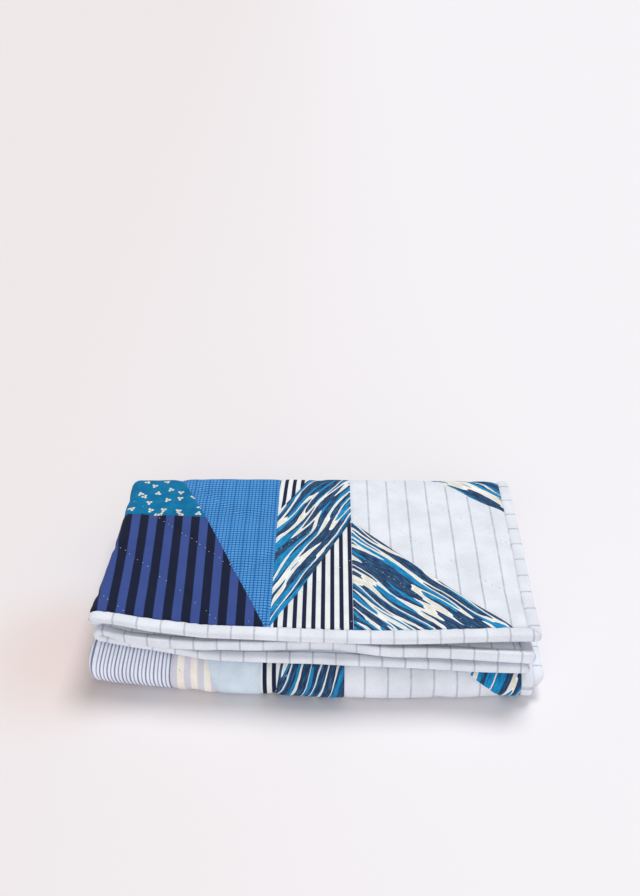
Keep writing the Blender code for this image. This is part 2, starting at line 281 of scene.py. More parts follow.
def rest_on_stack(x, y, z):
    """The soft unevenness of the stack: plump front bend and left side, set-back corner, crowned top."""
    front = PANELS[0][2]
    from_left = np.clip(x + STACK_WIDTH / 2, 0.0, None)
    from_front = np.clip(y - front, 0.0, None)
    lift = FRONT_LIFT * np.exp(-((from_front / FRONT_LIFT_LENGTH) ** 2))
    to_back = smooth(from_front / LEFT_LIFT_LENGTH)
    lift += LEFT_LIFT * np.exp(-((from_left / CORNER_LIFT_WIDTH) ** 2)) * lerp(1.0, -1.0, to_back)
    lift += CROWN * np.cos(np.pi * x / STACK_WIDTH) * np.cos(np.pi * y / STACK_WIDTH)
    corner = np.exp(-from_left / CORNER_LIFT_WIDTH) * np.exp(-from_front / CORNER_LIFT_DEPTH)
    dip = smooth((x - RIGHT_DIP_START) / RIGHT_DIP_WIDTH) * np.exp(-((from_front / RIGHT_DIP_LENGTH) ** 2))
    nose = smooth(1 - from_left / NOSE_WIDTH)
    z = z - NOSE_DROP * nose * np.sin(np.pi * np.clip(z / LAYER_PITCH / NOSE_LAYERS, 0.0, 1.0))
    level = z / LAYER_PITCH
    lower = np.clip(level / HALF_STACK, 0.0, 1.0)
    upper = np.clip(level / HALF_STACK - 1, 0.0, 1.0)
    lift_low = lift + CORNER_LIFT_LOW * corner - RIGHT_DIP * dip
    lift_top = lift + CORNER_LIFT_TOP * corner
    z = z + lift_low * lower + (lift_top - lift_low) * upper
    near_front = smooth((FRONT_HALF_START - y) / FRONT_HALF_LENGTH)
    back_share = (CORNER_SET_BACK_START - x) / (STACK_WIDTH / 2 + CORNER_SET_BACK_START)
    back = CORNER_SET_BACK * np.clip(back_share, 0.0, None)
    wave = -EDGE_WAVE * np.cos(2 * np.pi * (x - EDGE_WAVE_PEAK) / EDGE_WAVE_LENGTH)
    y = y + near_front * (back + wave)
    bulge = np.sin(2 * np.pi * np.clip(level / LEFT_BULGE_LAYERS, 0.0, 1.0))
    x = x - smooth((-x - SIDE_START) / SIDE_WIDTH) * (LEFT_BULGE * bulge + LEFT_FLARE * near_front)
    x = x + smooth((x - SIDE_START) / SIDE_WIDTH) * RIGHT_SPREAD * (1 - near_front)
    return x, y, z


def fold(u, v, off):
    """A point of the flat quilt, off from the cloth's own middle, put in its place in the folded stack."""
    u, v, off = (np.atleast_1d(np.asarray(value, dtype=float)) for value in (u, v, off))
    inside = inside_share(u)
    from_far_end = CLOTH_ALONG - v
    v = v + SET_BACK * inside * np.clip(1 - v / SET_BACK_FADE, 0.0, 1.0)
    v = v - far_set_back(u, inside) * np.clip(1 - from_far_end / SET_BACK_FADE, 0.0, 1.0)
    x, away = across(u, v, off)
    y, z, face_y, face_z = along(v)
    y = y + away * face_y
    z = z + away * face_z
    droop = np.clip(1 - v / DROOP_LENGTH, 0.0, 1.0) ** 2
    swell = inside * np.clip(1 - from_far_end / FAR_END_SWELL_LENGTH, 0.0, 1.0) ** 2
    swell = swell * smooth((x - FAR_END_SWELL_START) / FAR_END_SWELL_WIDTH)
    raised = inside * np.clip(1 - from_far_end / FAR_CORNER_LIFT_LENGTH, 0.0, 1.0) ** 2
    raised = raised * smooth((x - FAR_CORNER_LIFT_START) / FAR_CORNER_LIFT_WIDTH)
    x, y, z = rest_on_stack(x, y, z)
    droop = droop * lerp(1.0, DROOP_RIGHT_SHARE, smooth((x - DROOP_RIGHT_START) / DROOP_RIGHT_WIDTH))
    droop = droop * (1 - inside / 2) * smooth((x - DROOP_LEFT_END) / DROOP_LEFT_WIDTH)
    z = z - DROOP * droop + FAR_END_SWELL * swell * (1 + off / HALF_CLOTH) / 2 + FAR_CORNER_LIFT * raised
    return np.stack([x, y, z], axis=-1)


def stations(pieces, whole):
    """Lines of a net between the seams of its two bindings, from a list of (start, length, cells)."""
    seam = BINDING_WIDTH + PIECE_GAP
    lines = [np.array([seam])]
    for start, length, cells in pieces:
        lines.append(np.linspace(max(start, seam), min(start + length, whole - seam), cells + 1)[1:])
    return np.concatenate(lines)


def stations_across():
    pieces = (
        (0.0, SHOWN_LENGTH, CELLS_SHOWN),
        (SHOWN_LENGTH, FOLD_LENGTH, CELLS_FOLD),
        (SHOWN_LENGTH + FOLD_LENGTH, SHOWN_LENGTH, CELLS_INSIDE),
    )
    return stations(pieces, CLOTH_ACROSS)


def stations_along():
    return stations([(piece["start"], piece["length"], piece["cells"]) for piece in PATH], CLOTH_ALONG)


def find_shift():
    """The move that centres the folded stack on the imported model's origin."""
    us = np.linspace(0, CLOTH_ACROSS, CENTRING_LINES[0])
    vs = np.linspace(0, CLOTH_ALONG, CENTRING_LINES[1])
    grid_u, grid_v = np.meshgrid(us, vs, indexing="ij")
    edge = np.minimum.reduce([grid_u, grid_v, CLOTH_ACROSS - grid_u, CLOTH_ALONG - grid_v])
    half = HALF_CLOTH * np.sqrt(np.clip(edge / EDGE_ROUND, 0, 1))
    outer = fold(grid_u.ravel(), grid_v.ravel(), half.ravel())
    inner = fold(grid_u.ravel(), grid_v.ravel(), -half.ravel())
    points = np.concatenate([outer, inner])
    low = points.min(axis=0)
    middle = (low + points.max(axis=0)) / 2
    return np.array([-middle[0], -middle[1], -low[2]])


SHIFT = find_shift()


def linear(colour):
    """Linear RGB from a hex colour such as "e6e9f2"."""
    values = [int(colour[k:k + 2], 16) / 255 for k in (0, 2, 4)]
    return tuple(v / 12.92 if v <= 0.04045 else ((v + 0.055) / 1.055) ** 2.4 for v in values)


# Patches: name, fabric, turn of its fabric in degrees, and its corners (u, v) in metres.
# What no patch covers is cut from the windowpane cloth.
PATCH_COLUMNS = ("name", "fabric", "turn", "corners")
PATCHES = (
    ("brush right", "brush", 46,
        ((0.000, 0.000), (0.176, 0.000), (0.176, 0.180), (0.0245, 0.0123), (0.012, 0.000))),
    ("brush back corner", "brush", 40,
        ((0.000, 0.192), (0.0123, 0.202), (0.0307, 0.2145), (0.0514, 0.232), (0.0835, 0.260),
         (0.110, 0.278), (0.110, 0.350), (0.000, 0.350))),
    ("navy stripes", "navy_stripe", 0, ((0.176, 0.000), (0.262, 0.000), (0.255, 0.0123), (0.176, 0.180))),
    ("brush middle", "brush", 118,
        ((0.255, 0.0123), (0.255, 0.196), (0.2204, 0.266), (0.1765, 0.350), (0.176, 0.180))),
    ("navy back", "navy_stripe", 3, ((0.255, 0.196), (0.255, 0.350), (0.1765, 0.350), (0.2204, 0.266))),
    ("blue check", "check", 0,
        ((0.255, 0.0123), (0.2596, 0.0123), (0.3327, 0.1877), (0.3705, 0.269), (0.405, 0.350),
         (0.255, 0.350))),
    ("teal flowers", "flowers", 0,
        ((0.3327, 0.1877), (0.424, 0.1960), (0.520, 0.1960), (0.520, 0.350), (0.405, 0.350),
         (0.3705, 0.269))),
    ("dark stripes", "dark_stripe", -1.6,
        ((0.255, 0.000), (0.520, 0.000), (0.520, 0.1960), (0.424, 0.1960), (0.3327, 0.1877),
         (0.2596, 0.0123))),
    ("plain low", "plain_blue", 0,
        ((0.262, 0.350), (0.345, 0.350), (0.303, 0.560), (0.3050, 0.581), (0.3140, 0.596),
         (0.345, 0.640), (0.262, 0.640))),
    ("pastel low", "pastel", 0,
        ((0.303, 0.560), (0.347, 0.350), (0.347, 0.640), (0.345, 0.640), (0.3140, 0.596),
         (0.3050, 0.581))),
    ("pinstripe low", "pinstripe", 0, ((0.347, 0.350), (0.520, 0.350), (0.520, 0.640), (0.347, 0.640))),
    ("navy low", "navy_stripe", 0, ((0.262, 0.480), (0.262, 0.640), (0.230, 0.640), (0.254, 0.560))),
    ("brush low", "brush", 112,
        ((0.182, 0.350), (0.262, 0.350), (0.262, 0.480), (0.254, 0.560), (0.230, 0.640),
         (0.182, 0.640))),
    ("brush low corner", "brush", 108,
        ((0.000, 0.545), (0.0335, 0.579), (0.0434, 0.5855), (0.0562, 0.591), (0.0656, 0.596),
         (0.078, 0.610), (0.000, 0.640))),
    ("check inside", "check", 0, ((0.180, 0.640), (0.520, 0.640), (0.520, 0.860), (0.180, 0.860))),
    ("navy inside", "navy_stripe", 0, ((0.012, 0.700), (0.180, 0.700), (0.180, 0.900))),
    ("flowers under", "flowers", 0, ((0.520, 0.000), (0.680, 0.000), (0.520, 0.350))),
    ("pastel under", "pastel", 0, ((0.680, 0.000), (0.834, 0.000), (0.834, 0.350), (0.680, 0.350))),
    ("dark under", "dark_stripe", 0, ((0.520, 0.350), (0.680, 0.350), (0.680, 0.640), (0.520, 0.640))),
    ("check under", "check", 0, ((0.600, 0.640), (0.834, 0.640), (0.834, 0.860), (0.600, 0.860))),
    ("window low", "windowpane", 0,
        ((0.000, 0.350), (0.182, 0.350), (0.182, 0.640), (0.078, 0.610), (0.0656, 0.596),
         (0.0562, 0.591), (0.0434, 0.5855), (0.0335, 0.579), (0.000, 0.545))),
)

# How a patch's stripes were cut: moved along u, and spread from a fixed u by a share for each metre of length
CUT_COLUMNS = ("patch", "move", "fixed_u", "spread")
CUTS = (
    ("dark stripes", 0.0085, 0.285, 0.420),
    ("navy stripes", 0.0011, 0.0, 0.0),
    ("window low", 0.0073, 0.056, 0.034),
)
WINDOWPANE_MOVE = 0.0027

FABRICS = ("windowpane", "brush", "navy_stripe", "check", "flowers", "dark_stripe", "pinstripe", "pastel",
           "plain_blue", "backing")

# Creases and dents in the patchwork. Heights above the plain surface are positive.
CREASE_COLUMNS = ("name", "start", "end", "height", "half_width")
CREASES = (
    ("corner ridge", (0.0305, 0.1725), (0.0130, 0.1580), 0.0022, 0.0026),
    ("trough behind it", (0.0315, 0.1785), (0.0135, 0.1645), -0.0018, 0.0026),
    ("dent by the side", (0.0198, 0.1209), (0.0212, 0.0953), -0.0016, 0.0042),
    ("dent before it", (0.0373, 0.0981), (0.0401, 0.0574), -0.0012, 0.0042),
)

# Soft lumps of the cloth, and the pinch and puckers along the binding, where the lumps fade out
LUMP_COLUMNS = ("height", "size", "seed")
LUMPS = (
    (0.00055, 0.030, 1.0),
    (0.00022, 0.010, 4.0),
)
LUMP_FADE = 0.012
EDGE_PINCH = 0.0009
EDGE_PINCH_WIDTH = 0.0028
PUCKER = 0.0005
PUCKER_RATE = 520
PUCKER_SWAY = 3
PUCKER_SWAY_RATE = 61
PUCKER_LENGTH = 0.007

# Patch edges nearer the cloth's own edge than this aren't seams. The others are cut into the net of points
# this far to both sides.
EDGE_SEAM = 0.013
CUT_REACH = 0.0075

# Seams and quilting: depths, half widths and places in metres, and shares of the stitches that show
SEAM_CUT = 0.0014
SEAM_DEPTH = 0.0009
SEAM_VALLEY_DEPTH = 0.0004
SEAM_VALLEY_WIDTH = 0.0060
ROW_PITCH = 0.0893
ROW_START = 0.0123
ROW_TURNS = (0.1707, 0.2890)
ROW_PHASE = 0.0406
TROUGH_DEPTH = 0.0014
TROUGH_WIDTH = 0.0048
STITCH_PITCH = 0.0076
STITCH_LENGTH = 0.0022
STITCH_RADIUS = 0.00032
STITCHES_SEEN = 0.74
STITCHES_SEEN_ON_CHECK = 0.12
STITCH_WANDER = 0.0016
STITCH_SEED = 7
STITCH_SIDES = 5
STITCH_ROWS = range(-8, 14)
FIRST_STITCH_U = 0.016
FIRST_STITCH_V = 0.014

# A stitch's shape along its length: how high it lies and how thick it is
STITCH_SHAPE_COLUMNS = ("share", "rise", "thickness")
STITCH_SHAPE = (
    (0.0, -0.0005, 0.0),
    (0.2, 0.0001, 0.8),
    (0.5, 0.0003, 1.0),
    (0.8, 0.0001, 0.8),
    (1.0, -0.0005, 0.0),
)
UPWARD = 0.001


def inside_polygon(corners, u, v):
    """Whether each point lies inside the polygon."""
    found = np.zeros(u.shape, dtype=bool)
    for (u1, v1), (u2, v2) in zip(corners, corners[1:] + corners[:1]):
        crosses = (v1 > v) != (v2 > v)
        rise = v2 - v1 if v2 != v1 else 1.0
        found ^= crosses & (u < (u2 - u1) * (v - v1) / rise + u1)
    return found


def segment_distance(u, v, start, end):
    """Distance from each point to a segment on the flat cloth."""
    du, dv = end[0] - start[0], end[1] - start[1]
    share = np.clip(((u - start[0]) * du + (v - start[1]) * dv) / (du * du + dv * dv), 0.0, 1.0)
    return np.hypot(u - start[0] - share * du, v - start[1] - share * dv)


def seam_lines():
    """Every patch edge once."""
    lines = {}
    for _, _, _, corners in PATCHES:
        for start, end in zip(corners, corners[1:] + corners[:1]):
            lines[tuple(sorted((start, end)))] = (start, end)
    return [(start, end) for start, end in lines.values()
            if max(start[0], end[0]) >= EDGE_SEAM and max(start[1], end[1]) >= EDGE_SEAM]


def zigzag(u):
    """How far along v a row of quilting has moved at each u. The rows turn at ROW_TURNS."""
    first, second = ROW_TURNS
    turned = np.where(u < second, 2 * first - u, 2 * (first - second) + u)
    return np.where(u < first, u, turned) - ROW_START


def row_distance(u, v):
    """Distance from each point to the nearest row of quilting, along the cloth."""
    past = np.mod(v - ROW_START - zigzag(u) - ROW_PHASE, ROW_PITCH)
    return np.minimum(past, ROW_PITCH - past) / math.sqrt(2)


def cloth_noise(u, v, size, seed):
    """Soft noise from -1 to 1 on the flat cloth, with lumps of the given size."""
    return np.array([noise.noise(Vector((a / size, b / size, seed))) for a, b in zip(u, v)])


def relief(u, v, seams):
    """How far the patchwork's surface stands above or below its plain height."""
    edge = np.minimum.reduce([u, v, CLOTH_ACROSS - u, CLOTH_ALONG - v]) - BINDING_WIDTH
    height = sum(rise * cloth_noise(u, v, size, seed) for rise, size, seed in LUMPS)
    height *= np.clip(edge / LUMP_FADE, 0.0, 1.0)
    height -= TROUGH_DEPTH * np.exp(-((row_distance(u, v) / TROUGH_WIDTH) ** 2))
    nearest = np.full(u.shape, 1.0)
    for start, end in seams:
        nearest = np.minimum(nearest, segment_distance(u, v, start, end))
    height -= SEAM_DEPTH * np.clip(1 - nearest / SEAM_CUT, 0.0, 1.0)
    height -= SEAM_VALLEY_DEPTH * np.exp(-((nearest / SEAM_VALLEY_WIDTH) ** 2))
    height -= EDGE_PINCH * np.exp(-((edge / EDGE_PINCH_WIDTH) ** 2))
    for _, start, end, rise, half_width in CREASES:
        height += rise * np.exp(-((segment_distance(u, v, start, end) / half_width) ** 2))
    pucker = PUCKER * np.sin(u * PUCKER_RATE + PUCKER_SWAY * np.sin(u * PUCKER_SWAY_RATE))
    return height + pucker * np.exp(-np.clip(v - BINDING_WIDTH, 0, 1) / PUCKER_LENGTH)


# How many places of v the path's length is measured at
PATH_PLACES = 4000


def surface_length(side):
    """The length along the patchwork's surface to each of many places of v. Side is 1 shown, -1 inside."""
    v = np.linspace(0.0, CLOTH_ALONG, PATH_PLACES)
    y, z, face_y, face_z = along(v)
    away = side * (FOLD_RADIUS + HALF_CLOTH)
    steps = np.hypot(np.diff(y + away * face_y), np.diff(z + away * face_z))
    return v, np.concatenate([[0.0], np.cumsum(steps)])


def make_mesh_object(name, points, faces, materials, cloth=None, indices=None):
    """One smooth-shaded object from arrays, with its cloth map and materials, flattened on the floor."""
    points = np.array(points)
    points[:, 2] = np.clip(points[:, 2], 0.0, None)
    mesh = bpy.data.meshes.new(name)
    mesh.from_pydata([tuple(point) for point in points], [], faces)
    for material in materials:
        mesh.materials.append(material)
    if indices is not None:
        mesh.polygons.foreach_set("material_index", indices)
    if cloth is not None:
        layer = mesh.uv_layers.new(name="cloth")
        loops = np.zeros(len(mesh.loops), dtype=np.int32)
        mesh.loops.foreach_get("vertex_index", loops)
        layer.uv.foreach_set("vector", np.asarray(cloth, dtype=np.float32)[loops].ravel())
    mesh.validate()
    mesh.shade_smooth()
    thing = bpy.data.objects.new(name, mesh)
    bpy.context.scene.collection.objects.link(thing)
    return thing


def flat_slab():
    """The quilt's body before folding, as a closed slab in (u, v, s)."""
    us = stations_across()
    vs = stations_along()
    count_u, count_v = len(us), len(vs)
    work = bmesh.new()
    upper, under = ([[work.verts.new((u, v, side)) for v in vs] for u in us] for side in (1.0, -1.0))
    for i in range(count_u - 1):
        for j in range(count_v - 1):
            work.faces.new((upper[i][j], upper[i + 1][j], upper[i + 1][j + 1], upper[i][j + 1]))
            work.faces.new((under[i][j], under[i][j + 1], under[i + 1][j + 1], under[i + 1][j]))
    rim = [(i, 0) for i in range(count_u)] + [(count_u - 1, j) for j in range(1, count_v)]
    rim += [(i, count_v - 1) for i in range(count_u - 2, -1, -1)]
    rim += [(0, j) for j in range(count_v - 2, 0, -1)]
    for (i, j), (k, m) in zip(rim, rim[1:] + rim[:1]):
        work.faces.new((upper[k][m], upper[i][j], under[i][j], under[k][m]))
    return work


def cut_seams(work, seams):
    """Cut the upper surface along each seam and a little to both sides of it."""
    for start, end in seams:
        line = Vector((end[0] - start[0], end[1] - start[1], 0.0))
        length = line.length
        line.normalize()
        across_line = Vector((line.y, -line.x, 0.0))
        begin = Vector((start[0], start[1], 0.0))
        faces = []
        for face in work.faces:
            if face.verts[0].co.z < 0.5 or face.verts[2].co.z < 0.5:
                continue
            offset = face.calc_center_median() - begin
            beside = abs(offset.dot(across_line)) < CUT_REACH
            if beside and -SEAM_CUT < offset.dot(line) < length + SEAM_CUT:
                faces.append(face)
        geometry = list({edge for face in faces for edge in face.edges})
        geometry += list({vert for face in faces for vert in face.verts}) + faces
        for shift in (0.0, SEAM_CUT, -SEAM_CUT):
            place = begin + across_line * shift
            cut = bmesh.ops.bisect_plane(work, geom=geometry, dist=1e-6, plane_co=place,
                                         plane_no=across_line)
            geometry = cut["geom"]
    bmesh.ops.triangulate(work, faces=[face for face in work.faces if len(face.verts) > 4])


def patch_of(u, v):
    """The number of the patch that each point lies in, or -1."""
    number = np.full(u.shape, -1)
    for index, (_, _, _, corners) in enumerate(PATCHES):
        number[inside_polygon(corners, u, v)] = index
    return number


def make_quilt(materials):
    """The quilted cloth inside its binding: a flat slab, cut into patches, given its relief, and folded."""
    seams = seam_lines()
    work = flat_slab()
    cut_seams(work, seams)
    work.verts.index_update()
    flat = np.array([tuple(vert.co) for vert in work.verts])
    faces = [[vert.index for vert in face.verts] for face in work.faces]
    work.free()
    u, v, s = flat.T
    off = s * HALF_CLOTH
    upper = s > 0
    off[upper] += relief(u[upper], v[upper], seams)
    edge = np.minimum.reduce([u, v, CLOTH_ACROSS - u, CLOTH_ALONG - v]) - BINDING_WIDTH
    off[~upper] += EDGE_PINCH * np.exp(-((edge[~upper] / EDGE_PINCH_WIDTH) ** 2))
    points = fold(u, v, off) + SHIFT
    centre_u = np.array([u[face].mean() for face in faces])
    centre_v = np.array([v[face].mean() for face in faces])
    shown = np.array([s[face].min() > 0 for face in faces])
    patches = patch_of(centre_u, centre_v)
    names = [PATCHES[n][1] if n >= 0 else "windowpane" for n in patches]
    fabric = [FABRICS.index(name if up else "backing") for name, up in zip(names, shown)]
    thing = make_mesh_object("quilt_patchwork", points, faces, materials, indices=fabric)
    add_cloth_maps(thing, faces, u, v, s, patches, shown)
    return thing


# How far each next patch's cut lies in its fabric, and the places of the quilt's two sides on the bake's map
FABRIC_STEP = (0.013, 0.171)
BAKE_COLUMNS = ("side", "u_start", "u_scale", "v_start", "v_scale")
BAKE = (
    ("shown", 0.005, 0.98, 0.005, 0.98),
    ("under", 0.80, 0.2, 0.01, 0.24),
)


def add_cloth_maps(thing, faces, u, v, s, patches, shown):
    """The map that the fabrics are cut by, in metres, and the one that a bake uses."""
    places, shown_length = surface_length(1)
    inside_length = surface_length(-1)[1]
    share = inside_share(u)
    length = lerp(np.interp(v, places, shown_length), np.interp(v, places, inside_length), share)
    loops = np.concatenate([np.array(face) for face in faces])
    sizes = np.array([len(face) for face in faces])
    patch = np.repeat(patches, sizes)
    turn = np.array([math.radians(row[2]) for row in PATCHES] + [0.0])[patch]
    start_u = FABRIC_STEP[0] * (patch + 2)
    start_v = FABRIC_STEP[1] * (patch + 1)
    a, b = u[loops], length[loops]
    names = [row[0] for row in PATCHES]
    for name, move, fixed, spread in CUTS:
        a = np.where(patch == names.index(name), fixed + (a - fixed) * (1 - spread * b) + move, a)
    a = np.where(patch < 0, a + WINDOWPANE_MOVE, a)
    cloth_x = np.cos(turn) * a + np.sin(turn) * b + start_u
    cloth_y = np.cos(turn) * b - np.sin(turn) * a + start_v
    up = np.repeat(shown, sizes)
    sides = []
    for _, u_start, u_scale, v_start, v_scale in BAKE:
        sides.append((u_start + u[loops] / CLOTH_ALONG * u_scale, v_start + v[loops] / CLOTH_ALONG * v_scale))
    bake = [np.where(up, over, under) for over, under in zip(*sides)]
    for name, pair in (("cloth", (cloth_x, cloth_y)), ("OFBake", bake)):
        layer = thing.data.uv_layers.new(name=name)
        layer.uv.foreach_set("vector", np.stack(pair, axis=-1).astype(np.float32).ravel())


# The bindings: places from the outer edge to the seam, rounding, waves along them, and the turned corners
BINDING_DISTANCES = (0.0120, 0.0116, 0.0108, 0.0095, 0.0078, 0.0060, 0.0044, 0.0030, 0.0018, 0.0009, 0.0003)
BINDING_ROUND = 0.0027
BINDING_STEP = 0.0032
CORNER_RADIUS = 0.0060
BINDING_WAVE = 0.00035
SEAM_TUCK = 0.24
SEAM_TUCK_WIDTH = 0.0016
WAVE_FADE = 0.03
WAVE_DEPTH = 0.008
WOBBLE_SIZE = 0.028
RIPPLE_SIZE = 0.009
RIPPLE_DEPTH = 0.006
THICKNESS_WAVE = 0.05
THICKEST = 1.04
SEEDS_APART = 300
STRIP_AROUND = 0.030

# The four strips, with how far apart the ticks of their cloth lie and where the first one is
BINDING_COLUMNS = ("node", "along_side", "far", "tick_pitch", "first_tick")
BINDINGS = (
    ("binding_near", False, False, 0.0217, 0.0085),
    ("binding_far", False, True, 0.0222, 0.0099),
    ("binding_side_top", True, False, 0.0260, 0.0138),
    ("binding_side_under", True, True, 0.0250, 0.0060),
)
WINDOWPANE_PITCH = 0.0216


def binding_height(inward):
    """A binding's half thickness as a share of the cloth's, from its outer edge to its seam."""
    rounded = np.sqrt(np.clip(1 - (1 - np.clip(inward / BINDING_ROUND, 0, 1)) ** 2, 0, 1))
    return rounded * (1 - SEAM_TUCK * np.exp(-(((BINDING_WIDTH - inward) / SEAM_TUCK_WIDTH) ** 2)))


def round_corner(inward, run):
    """Draw points near the flat quilt's corner in, by their distances to its two edges, to round it."""
    first = np.clip(CORNER_RADIUS - inward, 0.0, None)
    second = np.clip(CORNER_RADIUS - run, 0.0, None)
    away = np.hypot(first, second)
    pull = 1 - np.maximum(first, second) / np.clip(away, 1e-9, None)
    pull[away == 0] = 0.0
    return inward + first * pull, run + second * pull


def make_binding(name, along_side, far, tick_pitch, first_tick, material):
    """A strip along one edge of the flat quilt, mitred at both ends. A side strip runs along v."""
    ring = [(d, binding_height(d)) for d in BINDING_DISTANCES] + [(0.0, 0.0)]
    ring += [(d, -binding_height(d)) for d in reversed(BINDING_DISTANCES)]
    length = CLOTH_ALONG if along_side else CLOTH_ACROSS
    width = CLOTH_ACROSS if along_side else CLOTH_ALONG
    steps = int(length / BINDING_STEP)
    sides = len(ring)
    share = np.linspace(0.0, 1.0, steps + 1)[:, None]
    inward, height = (np.array(column)[None, :] + 0 * share for column in zip(*ring))
    mitre = inward + PIECE_GAP / math.sqrt(2)
    run = lerp(mitre, length - mitre, share)
    ends = np.clip(np.minimum(run, length - run) / WAVE_FADE, 0.0, 1.0)
    waves = []
    for size, layer in ((WOBBLE_SIZE, 2.0), (RIPPLE_SIZE, 7.0)):
        values = [noise.noise(Vector((float(r) / size, SEEDS_APART * first_tick, layer))) for r in run[:, 0]]
        waves.append(np.array(values)[:, None])
    wobble, ripple = waves
    outer = np.clip(1 - inward / WAVE_DEPTH, 0.0, 1.0)
    moved = inward + ends * outer * BINDING_WAVE * (1 + wobble)
    wave = THICKNESS_WAVE * (wobble + ripple * np.clip(inward / RIPPLE_DEPTH, 0, 1))
    off = height * HALF_CLOTH * (1 + ends * wave)
    off = np.clip(off, -HALF_CLOTH * THICKEST, HALF_CLOTH * THICKEST)
    moved, from_end = round_corner(moved, np.minimum(run, length - run))
    place = np.where(run < length / 2, from_end, length - from_end)
    distance = width - moved if far else moved
    pair = (distance, place) if along_side else (place, distance)
    points = fold(pair[0].ravel(), pair[1].ravel(), off.ravel()) + SHIFT
    faces = []
    for step in range(steps):
        for corner in range(sides):
            a = step * sides + corner
            b = step * sides + (corner + 1) % sides
            faces.append((a, b, b + sides, a + sides))
    faces.append(tuple(range(sides - 1, -1, -1)))
    faces.append(tuple(range(steps * sides, (steps + 1) * sides)))
    if along_side == far:
        faces = [tuple(reversed(face)) for face in faces]
    around = np.linspace(0.0, STRIP_AROUND, sides)[None, :] + 0 * share
    ticks = (run - first_tick) * WINDOWPANE_PITCH / tick_pitch
    cloth = np.stack([ticks.ravel(), around.ravel()], axis=-1)
    return make_mesh_object(f"{name}_strip", points, faces, [material], cloth=cloth)


def make_stitches(material):
    """The quilting's running stitches: short spindles of thread in each row of troughs on the shown half."""
    u = np.arange(FIRST_STITCH_U, SHOWN_LENGTH + FOLD_LENGTH, STITCH_PITCH / math.sqrt(2))
    outer_back, front = PATH[1], PATH[3]
    spans = ((FIRST_STITCH_V, outer_back["start"] + outer_back["length"]),
             (front["start"], front["start"] + front["length"]))
    starts = []
    random = np.random.default_rng(STITCH_SEED)
    check = [corners for name, _, _, corners in PATCHES if name == "blue check"][0]
    first, second = ROW_TURNS
    slope = np.where((u > first) & (u < second), -1.0, 1.0)
    for row in STITCH_ROWS:
        v = ROW_START + zigzag(u) + ROW_PHASE + row * ROW_PITCH
        for a, b, lean in zip(u, v, slope):
            chance, slip, wander = random.random(3)
            on_check = inside_polygon(check, np.array([a]), np.array([b]))[0]
            seen = STITCHES_SEEN_ON_CHECK if on_check else STITCHES_SEEN
            slip = (slip - 0.5) * STITCH_WANDER
            wander = (wander - 0.5) * STITCH_WANDER
            if chance < seen and any(low < b < high for low, high in spans):
                starts.append((a + slip - wander * lean, b + slip * lean + wander, lean))
    return make_mesh_object("quilting_stitches", *stitch_spindles(np.array(starts)), [material])


def stitch_spindles(starts):
    """The points and faces of a spindle of thread from each start: u, v and the slope of its row."""
    points, faces = [], []
    sides = STITCH_SIDES
    step = STITCH_LENGTH / math.sqrt(2)
    base = HALF_CLOTH - TROUGH_DEPTH

    def along_stitch(share, rise):
        return fold(starts[:, 0] + share * step, starts[:, 1] + share * step * starts[:, 2],
                    np.full(len(starts), base + rise)) + SHIFT

    rings = [along_stitch(share, rise) for share, rise, _ in STITCH_SHAPE]
    lifted = along_stitch(0.5, UPWARD)
    for n in range(len(starts)):
        line = rings[4][n] - rings[0][n]
        normal = lifted[n] - rings[2][n]
        normal /= np.linalg.norm(normal) + 1e-12
        beside = np.cross(line, normal)
        beside /= np.linalg.norm(beside) + 1e-12
        at = len(points)
        points.append(rings[0][n])
        for ring in (1, 2, 3):
            radius = STITCH_RADIUS * STITCH_SHAPE[ring][2]
            for k in range(sides):
                angle = 2 * math.pi * k / sides
                around = math.cos(angle) * beside + math.sin(angle) * normal
                points.append(rings[ring][n] + radius * around)
        points.append(rings[4][n])
        end = at + 1 + 3 * sides
        for k in range(sides):
            m = (k + 1) % sides
            faces.append((at, at + 1 + m, at + 1 + k))
            for ring in (0, 1):
                low = at + 1 + ring * sides
                faces.append((low + k, low + m, low + sides + m, low + sides + k))
            low = at + 1 + 2 * sides
            faces.append((low + k, low + m, end))
    return points, faces


# Stripes and lines of the fabrics: how far apart, the share that each takes, and how soft its edges are
STRIPE_COLUMNS = ("period", "share", "soft")
STRIPES = {
    "windowpane": (WINDOWPANE_PITCH, 0.074, 0.0007),
    "navy": (0.0089, 0.46, 0.0003),
    "dark": (0.0170, 0.50, 0.0005),
    "pin": (0.0070, 0.19, 0.0002),
    "pin between": (0.0070, 0.17, 0.0002),
    "pastel": (0.0125, 0.50, 0.0004),
    "pastel pair": (0.0250, 0.50, 0.0003),
    "check along": (0.0038, 0.24, 0.0003),
    "check across": (0.0038, 0.34, 0.0003),
    "check wide": (0.0152, 0.22, 0.0006),
}

# The cotton's surface
COTTON_ROUGHNESS = 0.90
COTTON_SPECULAR = 0.12
COTTON_SHEEN = 0.03
COTTON_SHEEN_ROUGHNESS = 0.5
BUMP_STRENGTH = 0.35
BUMP_HEIGHT = 0.0006
WEAVE_RATE = 8600.0
WEAVE_SHARE = 0.10
THREAD_RATES = (420.0, 2600.0)
THREAD_TONES = (0.2, 0.8, 0.95, 1.05)


